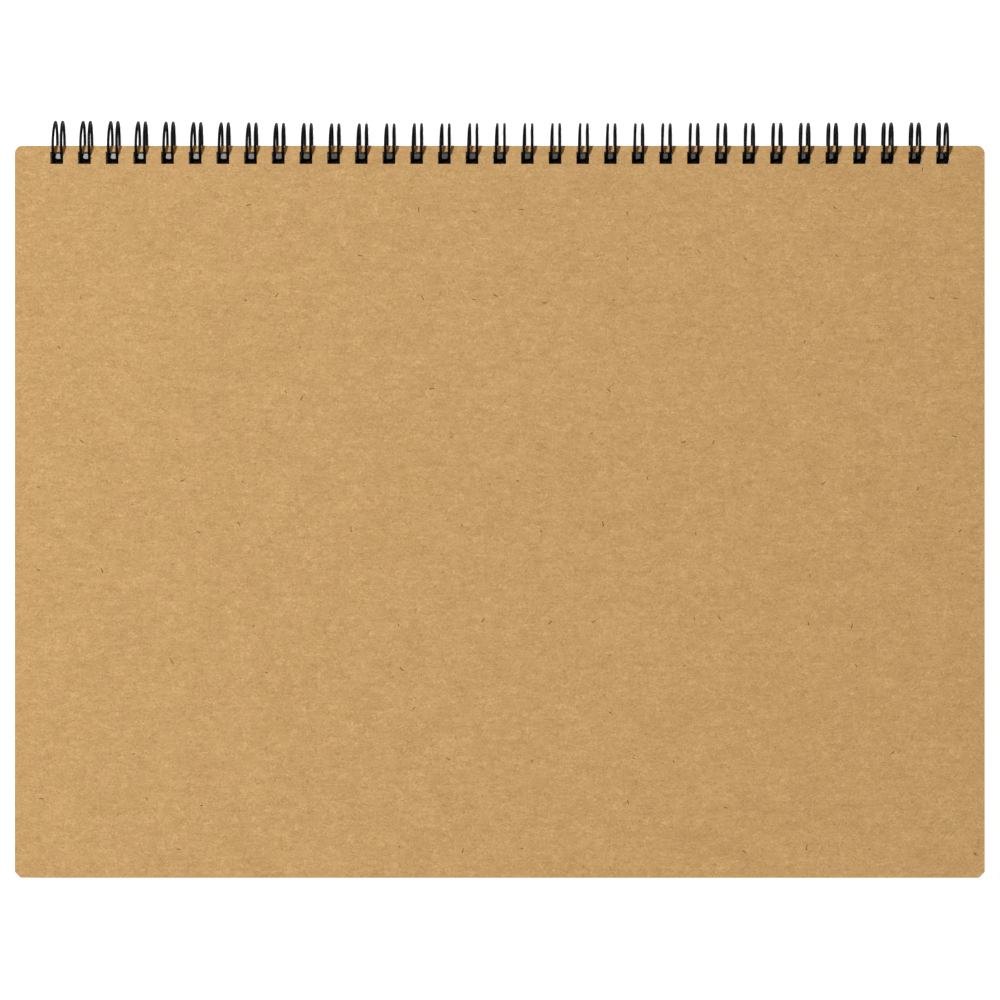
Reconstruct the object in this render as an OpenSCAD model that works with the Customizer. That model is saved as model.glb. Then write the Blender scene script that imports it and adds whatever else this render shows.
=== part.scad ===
// Wire-bound sketchbook: two board covers and forty drawing sheets, all punched
// along one long edge and turning on a single continuous double-loop wire.
// Lies closed, front cover up, bound edge along +Y. Millimetres, +Z up.

/* [Covers and sheets] */
// Width of the covers and sheets, measured along the binding
leaf_width = 297; // [200:0.5:420]
// Height of the covers and sheets, measured down from the bound edge
leaf_height = 224.2; // [150:0.1:320]
// Thickness of each cover board
board_thickness = 1; // [0.6:0.05:2]
// Thickness of one drawing sheet
sheet_thickness = 0.15; // [0.1:0.01:0.3]
// Radius of the two rounded corners at the bound edge
bound_corner_radius = 2.4; // [0.5:0.1:8]
// Size of the slanted cut across the two free corners
free_corner_cut = 1.8; // [0.5:0.1:8]

/* [Punched holes] */
// Spacing of the holes, the same as the spacing of the wire loops
hole_pitch = 8.467; // [7:0.001:13]
// Width of each hole, along the binding
hole_width = 3.9; // [3.2:0.1:6]
// Strip left between a hole and the bound edge
edge_strip = 1.9; // [1.2:0.1:5]
// Least distance from the middle of the first hole to the side edge
side_margin = 12; // [6:0.5:30]

/* [Binding wire] */
// Diameter of the coated wire
wire_diameter = 0.8; // [0.6:0.05:1.4]
// Distance between the two wires of one loop, centre to centre
loop_width = 2.2; // [1.8:0.1:3.2]
// Bend radius, on the wire's centre line, where a loop turns into its straight bar
bend_radius = 0.8; // [0.6:0.05:1.2]
// Distance from the bound edge out to the axis of the loops
axis_offset = 1.25; // [0.8:0.05:3]
// Least play between the wire and the edges of a hole
wire_play = 0.2; // [0.1:0.05:0.5]
// Room for the straight bars between the last sheet and the back cover
seam_room = 1.1; // [0.9:0.05:2]

/* [Hidden] */
$fn = 48;
sheet_count = 40;
wire_radius = wire_diameter / 2;
pad_thickness = sheet_count * sheet_thickness;
half_block = (2 * board_thickness + pad_thickness + seam_room) / 2;

// The loops clear the hole's near edge at the outer faces and its far edge at mid depth.
hole_start = axis_offset + edge_strip;
loop_reach = norm([hole_start, half_block]) + wire_radius + wire_play;
loop_radius = ceil(loop_reach * 20) / 20;
loop_outer = loop_radius + wire_radius;
hole_height = ceil((loop_outer + 1.5 * wire_play - hole_start) * 20) / 20;

loop_count = floor((leaf_width - 2 * side_margin) / hole_pitch) + 1;
first_loop = -(loop_count - 1) / 2 * hole_pitch;

axis_y = (leaf_height + axis_offset - loop_outer) / 2;
axis_z = loop_outer;
bound_edge = axis_y - axis_offset;
free_edge = bound_edge - leaf_height;
front_level = axis_z + half_block - board_thickness;
back_level = axis_z - half_block;

// The bars lie midway in the room under the last sheet, just past the end of the loops.
seam_drop = half_block - board_thickness - seam_room / 2;
bar_angle = 180 + asin(seam_drop / norm([loop_radius, bend_radius])) - atan(bend_radius / loop_radius);
bend_step = bend_radius + loop_width / 2;
nose_step = sqrt(pow(bend_step + 2 * wire_radius + 1.5 * wire_play, 2) - pow(bend_step, 2));
loop_angle = 360 - nose_step / loop_radius * 180 / PI;
bar_length = hole_pitch - 2 * bend_step;
socket_wall = 0.01;
socket_depth = 0.05;
socket_angle = 0.5;

board_colour = [0.71, 0.55, 0.37];
paper_colour = [0.95, 0.94, 0.9];
wire_colour = [0.06, 0.06, 0.06];

// ---- shared outline of every cover and sheet ----

module leaf_outline() {
    side = leaf_width / 2;
    cut = free_corner_cut;
    polygon([
        [-side, bound_edge],
        [-side, free_edge + cut],
        [-side + cut, free_edge],
        [side - cut, free_edge],
        [side, free_edge + cut],
        [side, bound_edge]
    ]);
}

module bound_corner() {
    translate([leaf_width / 2 - bound_corner_radius, bound_edge - bound_corner_radius])
        difference() {
            square(2 * bound_corner_radius);
            circle(bound_corner_radius);
        }
}

module hole_row() {
    for (i = [0 : loop_count - 1])
        translate([first_loop + i * hole_pitch - hole_width / 2, axis_y - hole_start - hole_height])
            square([hole_width, hole_height]);
}

module leaf(level, thickness) {
    translate([0, 0, level])
        linear_extrude(thickness)
            difference() {
                leaf_outline();
                bound_corner();
                mirror([1, 0, 0]) bound_corner();
                hole_row();
            }
}

// ---- pieces of the wire, drawn around +Z and stood up by on_axis() ----
// The curved pieces are a hair thicker, and the plain ones run a little way into them.

module bent_wire(radius, angle, thickness) {
    rotate_extrude(angle = angle)
        translate([radius, 0])
            circle(thickness, $fn = 24);
}

// Local x points away from the loop's axis, y along the loop and z across it.
module bar_bend() {
    translate([loop_radius, 0, bend_step])
        rotate([0, 90, 0])
            bent_wire(bend_radius, 90, wire_radius + socket_wall);
}

module loop_nose() {
    translate([loop_radius, 0, 0])
        rotate([0, 90, 180])
            bent_wire(loop_width / 2, 180, wire_radius + socket_wall);
}

module loop_leg() {
    translate([0, 0, loop_width / 2])
        rotate([0, 0, -loop_angle - socket_angle])
            bent_wire(loop_radius, loop_angle + 2 * socket_angle, wire_radius);
}

module double_loop() {
    loop_leg();
    mirror([0, 0, 1]) loop_leg();
    bar_bend();
    mirror([0, 0, 1]) bar_bend();
    rotate([0, 0, -loop_angle]) loop_nose();
}

module seam_bar() {
    translate([loop_radius, bend_radius, bend_step - socket_depth])
        cylinder(h = bar_length + 2 * socket_depth, r = wire_radius, $fn = 24);
}

module on_axis(x) {
    translate([x, axis_y, axis_z])
        rotate([90, 0, 90])
            rotate([0, 0, bar_angle])
                children();
}

// ---- named pieces ----

module back_cover() {
    color(board_colour) leaf(back_level, board_thickness);
}

module front_cover() {
    color(board_colour) leaf(front_level, board_thickness);
}

module sheet(number) {
    color(paper_colour) leaf(front_level - number * sheet_thickness, sheet_thickness);
}

module binding_wire() {
    color(wire_colour) {
        for (i = [0 : loop_count - 1]) on_axis(first_loop + i * hole_pitch) double_loop();
        for (i = [0 : loop_count - 2]) on_axis(first_loop + i * hole_pitch) seam_bar();
    }
}

back_cover();
binding_wire();
front_cover();
sheet(1);  // sheet_01
sheet(2);  // sheet_02
sheet(3);  // sheet_03
sheet(4);  // sheet_04
sheet(5);  // sheet_05
sheet(6);  // sheet_06
sheet(7);  // sheet_07
sheet(8);  // sheet_08
sheet(9);  // sheet_09
sheet(10);  // sheet_10
sheet(11);  // sheet_11
sheet(12);  // sheet_12
sheet(13);  // sheet_13
sheet(14);  // sheet_14
sheet(15);  // sheet_15
sheet(16);  // sheet_16
sheet(17);  // sheet_17
sheet(18);  // sheet_18
sheet(19);  // sheet_19
sheet(20);  // sheet_20
sheet(21);  // sheet_21
sheet(22);  // sheet_22
sheet(23);  // sheet_23
sheet(24);  // sheet_24
sheet(25);  // sheet_25
sheet(26);  // sheet_26
sheet(27);  // sheet_27
sheet(28);  // sheet_28
sheet(29);  // sheet_29
sheet(30);  // sheet_30
sheet(31);  // sheet_31
sheet(32);  // sheet_32
sheet(33);  // sheet_33
sheet(34);  // sheet_34
sheet(35);  // sheet_35
sheet(36);  // sheet_36
sheet(37);  // sheet_37
sheet(38);  // sheet_38
sheet(39);  // sheet_39
sheet(40);  // sheet_40
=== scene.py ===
"""Landscape sketchbook: two kraft boards and forty drawing sheets on one black twin-loop wire."""

import math
import random

import bpy
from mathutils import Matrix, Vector


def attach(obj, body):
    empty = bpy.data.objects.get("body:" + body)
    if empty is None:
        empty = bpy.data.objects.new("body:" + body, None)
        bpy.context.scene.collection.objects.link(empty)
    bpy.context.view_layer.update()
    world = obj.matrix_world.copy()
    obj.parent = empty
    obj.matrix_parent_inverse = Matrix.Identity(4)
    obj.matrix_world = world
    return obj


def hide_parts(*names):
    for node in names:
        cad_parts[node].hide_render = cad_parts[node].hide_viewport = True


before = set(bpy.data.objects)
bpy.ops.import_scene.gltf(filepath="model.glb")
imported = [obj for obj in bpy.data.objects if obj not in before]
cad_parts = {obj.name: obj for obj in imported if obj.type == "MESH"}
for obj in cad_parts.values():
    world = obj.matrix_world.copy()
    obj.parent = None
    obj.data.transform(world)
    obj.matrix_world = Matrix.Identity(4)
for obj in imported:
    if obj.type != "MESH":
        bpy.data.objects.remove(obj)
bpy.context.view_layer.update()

MM = 0.001
SHEETS = [f"sheet_{number:02d}" for number in range(1, 41)]

# ---- what the punch and the binding machine were set to, in millimetres ----

PITCH = 8.478
LOOPS = 33
HOLE_WIDE, HOLE_LOW, HOLE_HIGH = 3.9, 102.6, 106.3
HALF_WIDE, BOUND_EDGE, FREE_EDGE = 148.5, 108.2, -116.0
ROUNDED, CLIPPED = 2.4, 1.8
AXIS_Y, AXIS_Z, LOOP_RADIUS = 109.45, 6.55, 6.15
WIRE, TWIN_GAP, BEND = 0.87, 2.2, 0.8
BAR_AT, LOOP_TURN = 201.52, 338.37
BOARD, SHEET = 1.0, 0.15
FRONT_BOARD_AT, BACK_BOARD_AT = 10.1, 2.0
ROOM_FOR_BARS = 1.08


# ---- finishes ----

class Tone:
    """A value that changes over a surface, which Python's own arithmetic works on."""

    def __init__(self, finish, socket):
        self.finish, self.socket = finish, socket

    def out(self, name):
        return Tone(self.finish, self.socket.node.outputs[name])

    def __add__(self, other):
        return self.finish.sum("ADD", self, other)

    __radd__ = __add__

    def __sub__(self, other):
        return self.finish.sum("SUBTRACT", self, other)

    def __rsub__(self, other):
        return self.finish.sum("SUBTRACT", other, self)

    def __mul__(self, other):
        return self.finish.sum("MULTIPLY", self, other)

    __rmul__ = __mul__

    def __truediv__(self, other):
        return self.finish.sum("DIVIDE", self, other)

    def __rtruediv__(self, other):
        return self.finish.sum("DIVIDE", other, self)

    def __lt__(self, other):
        return self.finish.sum("LESS_THAN", self, other)

    def __gt__(self, other):
        return self.finish.sum("GREATER_THAN", self, other)

    def __abs__(self):
        return self.finish.sum("ABSOLUTE", self)


class Finish:
    """One material: its shader's own settings, and the nodes that vary it."""

    def __init__(self, name, **settings):
        self.material = bpy.data.materials.new(name)
        self.material.use_nodes = True
        self.tree = self.material.node_tree
        self.shader = self.tree.nodes["Principled BSDF"]
        for socket, value in settings.items():
            self.shader.inputs[socket.replace("_", " ")].default_value = value

    def node(self, kind, settings=None, sockets=None, output=0):
        made = self.tree.nodes.new("ShaderNode" + kind)
        for name, value in (settings or {}).items():
            if name == "stops":
                self.set_stops(made.color_ramp, value)
            else:
                setattr(made, name, value)
        for name, value in (sockets or {}).items():
            self.feed(made.inputs[name], value)
        return Tone(self, made.outputs[output])

    def set_stops(self, ramp, stops):
        while len(ramp.elements) < len(stops):
            ramp.elements.new(0.5)
        for element, (at, colour) in zip(ramp.elements, stops):
            element.position, element.color = at, colour

    def feed(self, socket, value):
        if isinstance(value, Tone):
            self.tree.links.new(value.socket, socket)
        else:
            socket.default_value = value

    def vary(self, **sockets):
        for name, value in sockets.items():
            self.feed(self.shader.inputs[name.replace("_", " ")], value)

    def sum(self, operation, *values):
        return self.node("Math", {"operation": operation}, dict(enumerate(values)))

    def shift(self, operation, *vectors):
        return self.node("VectorMath", {"operation": operation}, dict(enumerate(vectors)))

    def millimetres(self, moved=(0, 0, 0)):
        """Where a point is on the book, in millimetres."""
        place = self.node("TexCoord", output="Object")
        big = self.node("VectorMath", {"operation": "SCALE"}, {"Vector": place, "Scale": 1000.0})
        return self.shift("ADD", big, moved)

    def stretched(self, place, by):
        return self.shift("MULTIPLY", place, by)

    def parts(self, vector):
        split = self.node("SeparateXYZ", sockets={"Vector": vector})
        return split, split.out("Y"), split.out("Z")

    def cloud(self, place, size, detail=2.0, rough=0.5, twist=0.0):
        """Soft noise about half, its blobs about as wide as size."""
        return self.node("TexNoise", {"noise_dimensions": "3D"},
                         {"Vector": place, "Scale": 1.0 / size, "Detail": detail, "Roughness": rough,
                          "Distortion": twist})

    def fade(self, value, low, high, least=0.0, most=1.0):
        """Runs smoothly from least, where value is low, to most, where it is high."""
        return self.node("MapRange", {"interpolation_type": "SMOOTHSTEP"},
                         {"Value": value, "From Min": low, "From Max": high, "To Min": least, "To Max": most})

    def blend(self, share, first, second, how="MIX"):
        return self.node("Mix", {"data_type": "RGBA", "blend_type": how},
                         {0: share, 6: first, 7: second}, output=2)

    def bump(self, height, depth, strength=1.0, under=None):
        """depth is how far a height of 1 stands up, in millimetres."""
        sockets = {"Height": height, "Distance": depth * MM, "Strength": strength}
        if under is not None:
            sockets["Normal"] = under
        return self.node("Bump", sockets=sockets)


def hairs(finish, place, cell, length, width, share, curl=0.5):
    """Single fibres pressed into the surface, at most one to a cell, each at its own slant."""
    cells = finish.node("TexVoronoi", {"voronoi_dimensions": "2D"}, {"Vector": place, "Scale": 1.0 / cell})
    slant, lot, bow = finish.parts(cells.out("Color"))
    across_x, up_y, _ = finish.parts(finish.shift("SUBTRACT", place, cells.out("Position")))
    turn = slant * (2 * math.pi)
    cosine, sine = finish.sum("COSINE", turn), finish.sum("SINE", turn)
    along = across_x * cosine + up_y * sine
    off = up_y * cosine - across_x * sine + along * along * (bow - 0.5) * (2 * curl / length)
    half = (bow * 0.6 + 0.4) * (length / 2)
    thin = finish.fade(abs(off), width * 0.25, width * 0.75, 1.0, 0.0)
    short = finish.fade(abs(along) / half, 0.7, 1.0, 1.0, 0.0)
    return thin * short * (lot < share)


def painted_hole_wall_shade(finish, place):
    """One on the walls of the punched holes, where the finishes paint deep shade over their own colour."""
    x, y, _ = finish.parts(place)
    _, _, up = finish.parts(finish.node("TexCoord", output="Normal"))
    return (abs(up) < 0.6) * (y > 101.0) * (y < 107.0) * (abs(x) < 140.0)


def grey(value):
    return (value, value, value, 1.0)


def kraft_board(name, moved):
    """Recycled kraft board: pulp cloud, a faint grain along the book, pale fibres and a few dark hairs."""
    board = Finish(name, Roughness=0.9, Specular_IOR_Level=0.25)
    place = board.millimetres(moved)
    drift = board.cloud(place, 55.0, 2.0, 0.5)
    patch = board.cloud(place, 9.0, 3.0, 0.55, 0.4)
    mottle = board.cloud(board.stretched(place, (0.62, 1.0, 1.0)), 1.5, 4.0, 0.62)
    tooth = board.cloud(board.stretched(place, (0.8, 1.0, 1.0)), 0.42, 3.0, 0.6)
    grain = board.cloud(board.stretched(place, (0.07, 1.0, 1.0)), 0.9, 3.0, 0.6)
    wavy = board.shift("ADD", place, board.node(
        "VectorMath", {"operation": "SCALE"},
        {"Vector": board.cloud(place, 1.6, 1.0).out("Color"), "Scale": 0.5}))  # fibres never lie quite straight
    pale = hairs(board, wavy, 1.1, 1.3, 0.10, 0.75)
    dark = hairs(board, board.shift("ADD", wavy, (31.0, 17.0, 0.0)), 1.7, 1.2, 0.10, 0.35)
    strand = hairs(board, board.shift("ADD", wavy, (7.0, 53.0, 0.0)), 14.0, 2.0, 0.27, 0.26, 0.35)
    speck = hairs(board, board.shift("ADD", place, (71.0, 29.0, 0.0)), 6.5, 0.85, 0.26, 0.24, 0.2)

    # pulp lightens towards straw and darkens towards bark; both lie on one line of colour
    rough = board.fade(board.cloud(place, 3.6, 2.0), 0.3, 0.7, 0.62, 1.30)
    clump = (((mottle - 0.5) * 2.6 + (tooth - 0.5) * 5.0) * rough
             + (grain - 0.5) * 0.8 + (patch - 0.5) * 0.9)
    bark, kraft, straw = (0.308, 0.1605, 0.045, 1), (0.509, 0.303, 0.1190, 1), (0.770, 0.501, 0.236, 1)
    pulp = board.node("ValToRGB", {"stops": [(0.0, bark), (0.5, kraft), (1.0, straw)]},
                      {"Fac": clump * 0.28 + 0.5})
    rosy = board.blend(board.fade(board.cloud(place, 7.0, 3.0, 0.6), 0.38, 0.62),
                       (0.500, 0.3055, 0.1140, 1), (0.518, 0.3005, 0.1250, 1))
    rosy = board.blend(board.fade(drift, 0.36, 0.64, 0.0, 0.6), rosy, (0.503, 0.304, 0.1190, 1))
    pulp = board.blend(0.30, pulp, rosy)
    pulp = board.blend(pale * 0.30, pulp, (0.700, 0.455, 0.215, 1))
    pulp = board.blend(dark * 0.40, pulp, (0.330, 0.176, 0.053, 1))
    pulp = board.blend(speck * 0.55, pulp, (0.190, 0.085, 0.020, 1))
    pulp = board.blend(strand * 0.85, pulp, (0.105, 0.045, 0.012, 1))

    # the cut edges show the board's grey core, pressed in layers
    _, _, up = board.parts(board.node("TexCoord", output="Normal"))
    cut = board.fade(abs(up), 0.35, 0.75, 1.0, 0.0)
    layers = board.cloud(board.stretched(place, (0.12, 0.12, 1.0)), 0.13, 3.0, 0.6)
    core = board.blend(board.fade(layers, 0.3, 0.7), (0.250, 0.160, 0.082, 1), (0.430, 0.300, 0.170, 1))
    colour = board.blend(cut, pulp, core)
    # the walls of the punched holes are painted near black: painted shade, standing in for the dark inside of the
    # holes
    painted_hole_shade = painted_hole_wall_shade(board, board.millimetres()) * 0.85
    colour = board.blend(painted_hole_shade, colour, (0.030, 0.016, 0.007, 1))

    height = mottle * 0.6 + tooth * 0.5 + pale * 0.5 + grain * 0.25 + cut * layers * 1.5
    board.vary(Base_Color=colour, Roughness=board.fade(tooth, 0.3, 0.7, 0.82, 0.95),
               Normal=board.bump(height, 0.035))
    return board.material


def drawing_paper(name):
    """Uncoated off-white paper with a light tooth."""
    paper = Finish(name, Roughness=0.92, Specular_IOR_Level=0.2)
    place = paper.millimetres()
    flow = paper.cloud(place, 6.0, 3.0, 0.6)
    tooth = paper.cloud(place, 0.5, 4.0, 0.65)
    body = paper.blend(paper.fade(flow, 0.35, 0.65), (0.815, 0.800, 0.754, 1), (0.830, 0.815, 0.770, 1))
    body = paper.blend(paper.fade(tooth, 0.35, 0.7, 0.0, 0.25), body, (0.745, 0.725, 0.670, 1))
    # cut edges: darker streaks across the sheets of the block, painted shade standing in for the shade between the
    # sheets
    _, _, up = paper.parts(paper.node("TexCoord", output="Normal"))
    streaks = paper.cloud(paper.stretched(place, (0.015, 0.015, 1.0)), 0.34, 4.0, 0.7)
    painted_edge_shade_streaks = paper.fade(abs(up), 0.3, 0.7, 1.0, 0.0) * paper.fade(streaks, 0.40, 0.62, 0.0, 0.55)
    body = paper.blend(painted_edge_shade_streaks, body, (0.520, 0.495, 0.440, 1))
    # the walls of the punched holes are painted near black too: painted shade, not the paper's own colour
    body = paper.blend(painted_hole_wall_shade(paper, place) * 0.85, body, (0.030, 0.022, 0.016, 1))
    paper.vary(Base_Color=body, Roughness=paper.fade(tooth, 0.3, 0.7, 0.86, 0.96),
               Normal=paper.bump(tooth, 0.03))
    return paper.material


def coated_wire(name):
    """Steel wire in a tight black nylon coat, slightly rubbed in patches."""
    coat = Finish(name, Roughness=0.5, Specular_IOR_Level=0.11)
    place = coat.millimetres()
    ripple = coat.cloud(place, 1.1, 2.0, 0.5)
    dust = coat.cloud(place, 0.22, 3.0, 0.6)
    rub = coat.fade(coat.cloud(place, 5.0, 3.0, 0.6), 0.55, 0.75)
    black = coat.blend(rub * 0.5, (0.0012, 0.0011, 0.0011, 1), (0.0040, 0.0037, 0.0037, 1))
    coat.vary(Base_Color=black, Roughness=coat.fade(dust, 0.3, 0.75, 0.48, 0.60) + rub * 0.06,
              Normal=coat.bump(ripple, 0.02, under=coat.bump(dust, 0.004)))
    return coat.material


# ---- leaves ----

def eased(share):
    """Runs from 0 to 1 as share does, slowly at both ends."""
    share = min(max(share, 0.0), 1.0)
    return share * share * (3 - 2 * share)


def hole_edges():
    first = -(LOOPS - 1) / 2 * PITCH
    return [first + at * PITCH + side * HOLE_WIDE / 2 for at in range(LOOPS) for side in (-1, 1)]


def outline_rows(bends=()):
    """Each cross line of a leaf, from the free edge up: its y, and how wide the leaf is there."""
    rows = [(FREE_EDGE, HALF_WIDE - CLIPPED), (FREE_EDGE + CLIPPED, HALF_WIDE)]
    rows += [(y, HALF_WIDE) for y in bends]
    rows += [(HOLE_LOW, HALF_WIDE), (BOUND_EDGE - ROUNDED, HALF_WIDE)]
    start = BOUND_EDGE - ROUNDED
    for y in [HOLE_HIGH] + [start + ROUNDED * math.sin(math.radians(turn)) for turn in (25, 38, 51, 64, 77, 90)]:
        rows.append((y, HALF_WIDE - ROUNDED + math.sqrt(max(ROUNDED ** 2 - (y - start) ** 2, 0))))
    return sorted(rows)


def cut_leaf(name, floor, thick, sink=lambda x, y: 0.0, moved=(0.0, 0.0), bends=()):
    """A punched leaf lying at height floor. sink is how far it settles below that."""
    across, rows = hole_edges(), outline_rows(bends)
    lines = len(across) + 2
    places = []
    for y, half in rows:
        for x in [-half] + across + [half]:
            places.append((x, y))
    faces = []
    for row in range(len(rows) - 1):
        punched = rows[row][0] >= HOLE_LOW - 1e-6 and rows[row + 1][0] <= HOLE_HIGH + 1e-6
        for column in range(lines - 1):
            if punched and column % 2:
                continue
            corner = row * lines + column
            faces.append((corner, corner + 1, corner + lines + 1, corner + lines))
    edges = {}
    for face in faces:
        for one, two in zip(face, face[1:] + face[:1]):
            edges[(one, two)] = edges.pop((two, one), 0) + 1 if (two, one) in edges else 1
    shared = {pair for pair, count in edges.items() if count > 1}
    top, count = [], len(places)
    for x, y in places:
        drop = sink(x, y)
        top.append(((x + moved[0]) * MM, (y + moved[1]) * MM, (floor + thick - drop) * MM))
    verts = top + [(x, y, z - thick * MM) for x, y, z in top]
    walls = [(two, one, one + count, two + count) for one, two in edges if (one, two) not in shared]
    under = [tuple(corner + count for corner in reversed(face)) for face in faces]
    mesh = bpy.data.meshes.new(name)
    mesh.from_pydata(verts, [], faces + under + walls)
    used = {corner for face in mesh.polygons for corner in face.vertices}
    assert len(used) == len(verts)
    leaf = bpy.data.objects.new(name, mesh)
    bpy.context.scene.collection.objects.link(leaf)
    return leaf


def soften(piece, by, steps=2):
    """Takes the sharpness off every cut edge."""
    round_off = piece.modifiers.new("softened edges", "BEVEL")
    round_off.width, round_off.segments = by * MM, steps
    round_off.limit_method, round_off.angle_limit = "ANGLE", math.radians(40)


def put_in_place(piece, node, finish):
    piece.data.materials.append(finish)
    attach(piece, node)
    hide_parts(node)


def resting_depth(number):
    """The block closes over the room that the wire's bars need, each sheet a little further than the one above."""
    full = ROOM_FOR_BARS * number / len(SHEETS)

    def sink(x, y):
        return full * eased((101.5 - y) / 46.0)
    return sink


# ---- wire ----

def wire_path():
    """The middle of the wire from one end of the book to the other, in millimetres."""
    hand = random.Random(5)
    start, path = math.radians(BAR_AT), []
    end = start - math.radians(LOOP_TURN)
    half, side, legs = TWIN_GAP / 2, TWIN_GAP / 2 + BEND, 46

    for loop in range(LOOPS):
        x = (loop - (LOOPS - 1) / 2) * PITCH
        along = loop / (LOOPS - 1)
        stray = hand.uniform(-0.04, 0.01)
        stretch = (0.15 - 0.50 * eased(along / 0.35) + 0.25 * eased(along / 0.45 - 1.22)
                   + hand.uniform(-0.04, 0.04))

        crushed = 0.25 * eased(along / 0.35)

        def on_loop(side_on, across, turn, ahead=0.0):
            """across from the loop's middle, at turn round the axis, and ahead along the straight that leaves it
            there. Closing the wire has sprung the loops a little along the book: the left leg stands plumb in its
            hole and swings over as it comes round, and the right leg leans from the start. The loops away from the
            first are dented a little at their crown."""
            degrees = math.degrees(turn)
            left = 0.40 * eased((105 - degrees) / 100)
            right = 0.37 + 0.03 * eased((80 - degrees) / 80)
            tucked = eased((-95 - degrees) / 35)
            left, right = left - 0.76 * tucked, right - 0.16 * tucked
            swung = left * (1 - side_on) + right * side_on + stray
            y = LOOP_RADIUS * math.cos(turn) - ahead * math.sin(turn)
            z = LOOP_RADIUS * math.sin(turn) + ahead * math.cos(turn)
            dent = crushed * eased((degrees + 34) / 34) * eased((50 - degrees) / 30)
            reach = (stretch - dent) / LOOP_RADIUS * (y > 0)
            return Vector((x + across + swung, AXIS_Y + y * (1 + reach), AXIS_Z + z))

        for step in range(5):
            turn = math.radians(90 - 22.5 * step)
            path.append(on_loop(0, -side + BEND * math.cos(turn), start, BEND * math.sin(turn)))
        for step in range(1, legs):
            path.append(on_loop(0, -half, start + (end - start) * step / legs))
        for step in range(11):
            turn = math.radians(18 * step)
            path.append(on_loop(step / 10, -half * math.cos(turn), end, -half * math.sin(turn)))
        for step in range(legs - 1, 0, -1):
            path.append(on_loop(1, half, start + (end - start) * step / legs))
        for step in range(5):
            turn = math.radians(22.5 * step)
            path.append(on_loop(1, side - BEND * math.cos(turn), start, BEND * math.sin(turn)))
    return path


def drawn_wire(name, path, thick, sides=12):
    """A round wire swept along a path, with its cut ends closed."""
    verts, faces = [], []
    ahead = (path[1] - path[0]).normalized()
    out = ahead.orthogonal().normalized()
    for at, point in enumerate(path):
        before = path[max(at - 1, 0)]
        after = path[min(at + 1, len(path) - 1)]
        new = (after - before).normalized()
        turn = ahead.rotation_difference(new)
        out = (turn @ out).normalized()
        ahead = new
        other = ahead.cross(out)
        for side in range(sides):
            angle = 2 * math.pi * side / sides
            verts.append((point + (out * math.cos(angle) + other * math.sin(angle)) * (thick / 2)) * MM)
    for ring in range(len(path) - 1):
        for side in range(sides):
            one, two = ring * sides + side, ring * sides + (side + 1) % sides
            faces.append((one, two, two + sides, one + sides))
    last = (len(path) - 1) * sides
    faces.append(tuple(reversed(range(sides))))
    faces.append(tuple(range(last, last + sides)))
    mesh = bpy.data.meshes.new(name)
    mesh.from_pydata(verts, [], faces)
    for face in mesh.polygons:
        face.use_smooth = len(face.vertices) == 4
    wire = bpy.data.objects.new(name, mesh)
    bpy.context.scene.collection.objects.link(wire)
    return wire


# ---- the book ----

cover_board = {"front_cover": kraft_board("kraft board, front", (0.0, 0.0, 0.0)),
               "back_cover": kraft_board("kraft board, back", (410.0, 260.0, 90.0))}
paper = drawing_paper("drawing paper")
black_coat = coated_wire("black coated wire")

for node, floor in (("front_cover", FRONT_BOARD_AT), ("back_cover", BACK_BOARD_AT)):
    board = cut_leaf(node + "_board", floor, BOARD)
    soften(board, 0.08)
    put_in_place(board, node, cover_board[node])

jog = random.Random(11)
for number, node in enumerate(SHEETS, 1):
    shift = (jog.uniform(0.0, 0.10), jog.uniform(-0.08, 0.08))
    leaf = cut_leaf(node + "_leaf", FRONT_BOARD_AT - SHEET * number, SHEET, resting_depth(number), shift,
                    bends=(55.0, 62.0, 69.0, 76.0, 83.0, 90.0, 96.0))
    put_in_place(leaf, node, paper)

wire = drawn_wire("twin_loop_wire", wire_path(), WIRE)
put_in_place(wire, "binding_wire", black_coat)


# ---- table, light and camera ----

table = Finish("white table", Roughness=0.9, Specular_IOR_Level=0.1, Emission_Strength=1.0)
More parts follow.
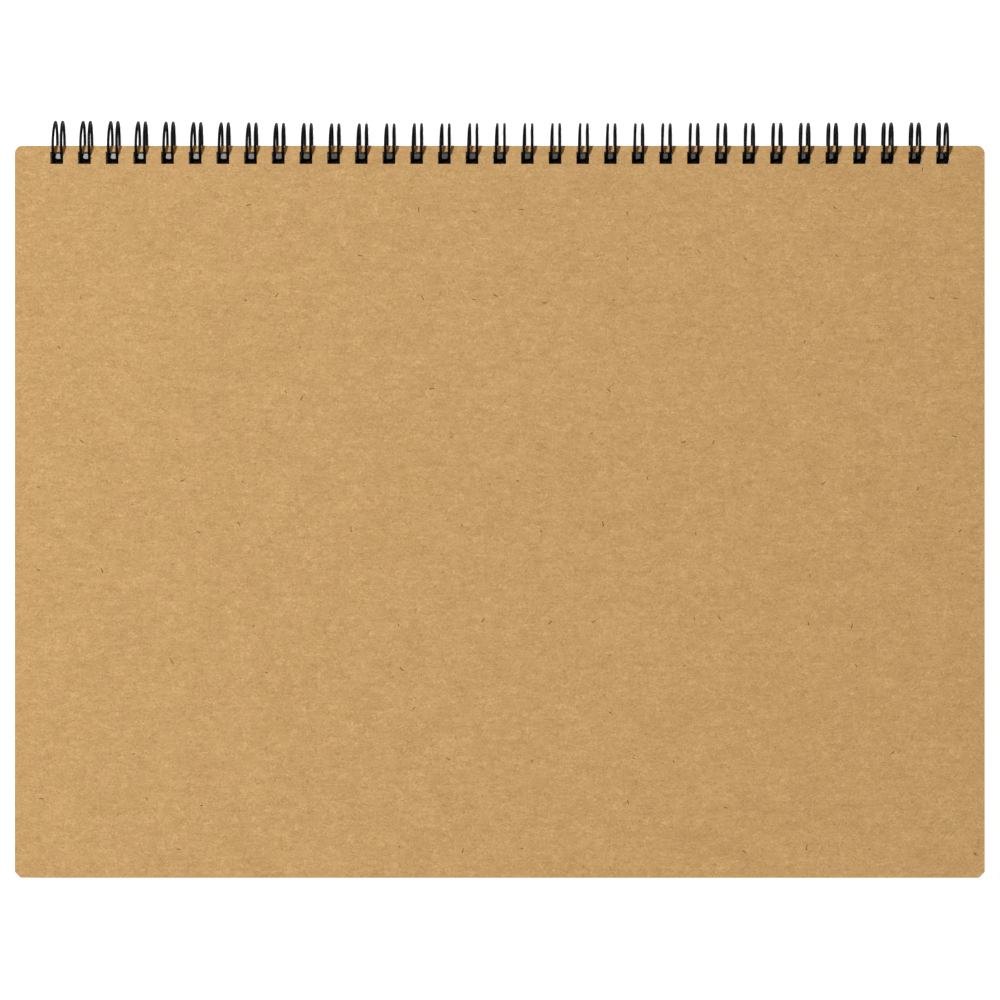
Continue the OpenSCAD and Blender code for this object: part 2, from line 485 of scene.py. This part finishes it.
# the table glows evenly as a bright backdrop, except under the closed book, where its glow is turned down as a
# painted shadow; a painted pool of light lies under the holes, brightest at the window's end
OPEN_TABLE, PAINTED_SHADOW_GLOW = 0.90, 0.18
spot_x, spot_y, _ = table.parts(table.millimetres())
painted_shadow_footprint = (table.fade(abs(spot_x), 147.0, 149.0, 1.0, 0.0) * table.fade(spot_y, 107.2, 108.6, 1.0, 0.0)
          * table.fade(spot_y, -117.0, -115.0))
under_holes = table.fade(spot_y, 97.0, 100.0) * table.fade(abs(spot_x), 137.0, 140.0, 1.0, 0.0)
painted_light_patch = table.fade(spot_x, -115.0, -45.0, 0.39, 0.08) * table.fade(spot_y, 103.9, 105.3)
# the glow carries a painted shadow under the book and a painted pool of light under the holes
glow_with_painted_light_and_shade = painted_shadow_footprint * (painted_light_patch * under_holes + (1 - under_holes) * PAINTED_SHADOW_GLOW) + (1 - painted_shadow_footprint) * OPEN_TABLE
# the table's colour is also darker under the closed book: painted shade
table.vary(Base_Color=table.blend(painted_shadow_footprint, grey(0.40), grey(0.15)),
           Emission_Color=table.node("CombineXYZ", sockets={"X": glow_with_painted_light_and_shade, "Y": glow_with_painted_light_and_shade, "Z": glow_with_painted_light_and_shade}))
top = bpy.data.meshes.new("table top")
reach, level = 6.0, -0.2 * MM
top.from_pydata([(-reach, -reach, level), (reach, -reach, level), (reach, reach, level), (-reach, reach, level)],
                [], [(0, 1, 2, 3)])
floor = bpy.data.objects.new("table", top)
bpy.context.scene.collection.objects.link(floor)
top.materials.append(table.material)


WARM_FILL, COOL_KEY = (1.0, 0.84, 0.62), (0.890, 0.936, 1.0)  # together they are white


def soft_light(name, place, size, power, colour):
    lamp = bpy.data.lights.new(name, "AREA")
    lamp.shape, lamp.size, lamp.energy, lamp.color = "DISK", size, power, colour
    light = bpy.data.objects.new(name, lamp)
    light.location = place
    light.rotation_mode = "QUATERNION"
    light.rotation_quaternion = (-Vector(place)).to_track_quat("-Z", "Y")
    bpy.context.scene.collection.objects.link(light)


soft_light("window", (-1.55, 0.35, 2.12), 0.40, 79.5, COOL_KEY)
soft_light("overhead", (0.3, -0.1, 2.2), 1.2, 5.5, WARM_FILL)

studio = bpy.data.worlds.new("studio")
studio.use_nodes = True
studio.node_tree.nodes["Background"].inputs["Color"].default_value = (*WARM_FILL, 1)
studio.node_tree.nodes["Background"].inputs["Strength"].default_value = 0.165
bpy.context.scene.world = studio
bpy.context.scene.view_settings.view_transform = "Standard"

lens = bpy.data.cameras.new("overhead camera")
lens.sensor_width, lens.lens = 36.0, 188.1
lens.clip_start, lens.clip_end = 0.05, 20.0
camera = bpy.data.objects.new("overhead camera", lens)
camera.location = (0.09 * MM, -0.32 * MM, 1.6111)
bpy.context.scene.collection.objects.link(camera)
bpy.context.scene.camera = camera
